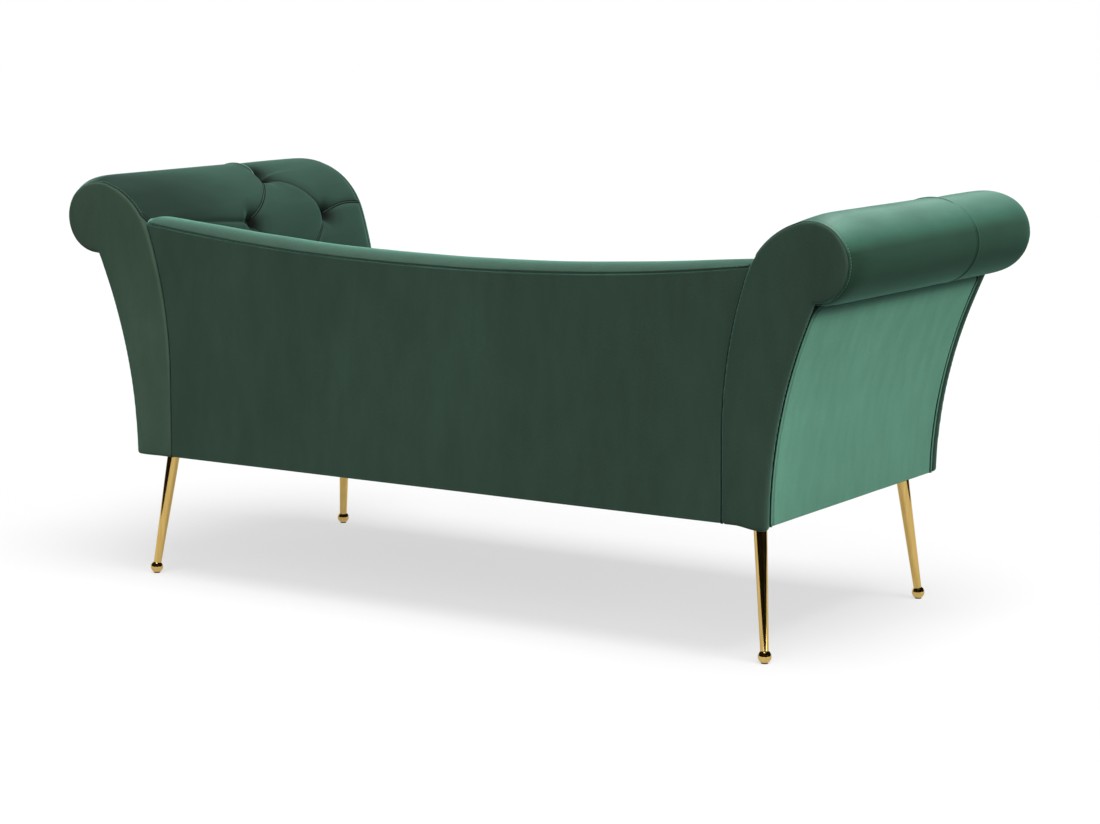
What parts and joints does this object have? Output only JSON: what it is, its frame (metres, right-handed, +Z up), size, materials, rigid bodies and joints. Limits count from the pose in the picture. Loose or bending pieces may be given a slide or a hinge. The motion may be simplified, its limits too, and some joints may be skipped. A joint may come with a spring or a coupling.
{
  "type": "chaise longue",
  "caption": "Velvet chaise longue with scrolled, deep-buttoned arms, a low dipped back and splayed tapered metal legs on ball feet.",
  "frame": {"origin": "on the floor, under the middle of the chaise", "axes": "+X along the length to the sitter's left, +Y towards the back, +Z up"},
  "size_m": [1.6358, 0.65, 0.7375],
  "materials": {
    "velvet": "short-pile velvet",
    "foam": "open-cell foam",
    "frame_wood": "sawn pine and plywood",
    "liner_board": "fibreboard",
    "webbing": "woven elastic",
    "dust_cloth": "non-woven cloth",
    "twine": "waxed twine",
    "gold_metal": "polished",
    "steel": "zinc plated",
    "glide_plastic": "matte"
  },
  "bodies": {
    "root": {"arm_base_cloths": "dust_cloth", "arm_bolts": "steel", "back_cover": "velvet", "back_foam": "foam", "back_liner": "liner_board", "back_outer_panel": "velvet", "back_posts": "frame_wood", "back_top_rail": "frame_wood", "bolt_nuts": "steel", "bolt_washers": "steel", "dust_cover": "dust_cloth", "foot_glides": "glide_plastic", "left_arm_bottom_rail": "frame_wood", "left_arm_button_ties": "twine", "left_arm_buttons": "velvet", "left_arm_cover": "velvet", "left_arm_end_panel": "velvet", "left_arm_foam": "foam", "left_arm_front_board": "frame_wood", "left_arm_front_facing": "velvet", "left_arm_joint_board": "frame_wood", "left_arm_liner": "liner_board", "left_arm_rear_board": "frame_wood", "left_arm_rear_facing": "velvet", "left_arm_tack_rail": "frame_wood", "left_arm_top_rail": "frame_wood", "left_arm_welts": "velvet", "left_seat_end_rail": "frame_wood", "leg_front_left": "gold_metal", "leg_front_right": "gold_metal", "leg_plate_screws": "steel", "leg_plates": "steel", "leg_plugs": "steel", "leg_rear_left": "gold_metal", "leg_rear_right": "gold_metal", "right_arm_bottom_rail": "frame_wood", "right_arm_button_ties": "twine", "right_arm_buttons": "velvet", "right_arm_cover": "velvet", "right_arm_end_panel": "velvet", "right_arm_foam": "foam", "right_arm_front_board": "frame_wood", "right_arm_front_facing": "velvet", "right_arm_joint_board": "frame_wood", "right_arm_liner": "liner_board", "right_arm_rear_board": "frame_wood", "right_arm_rear_facing": "velvet", "right_arm_tack_rail": "frame_wood", "right_arm_top_rail": "frame_wood", "right_arm_welts": "velvet", "right_seat_end_rail": "frame_wood", "seat_apron": "velvet", "seat_corner_blocks": "frame_wood", "seat_cover": "velvet", "seat_cross_rails": "frame_wood", "seat_cross_webbing": "webbing", "seat_foam": "foam", "seat_front_rail": "frame_wood", "seat_long_webbing": "webbing", "seat_rear_rail": "frame_wood"}
  },
  "joints": []
}
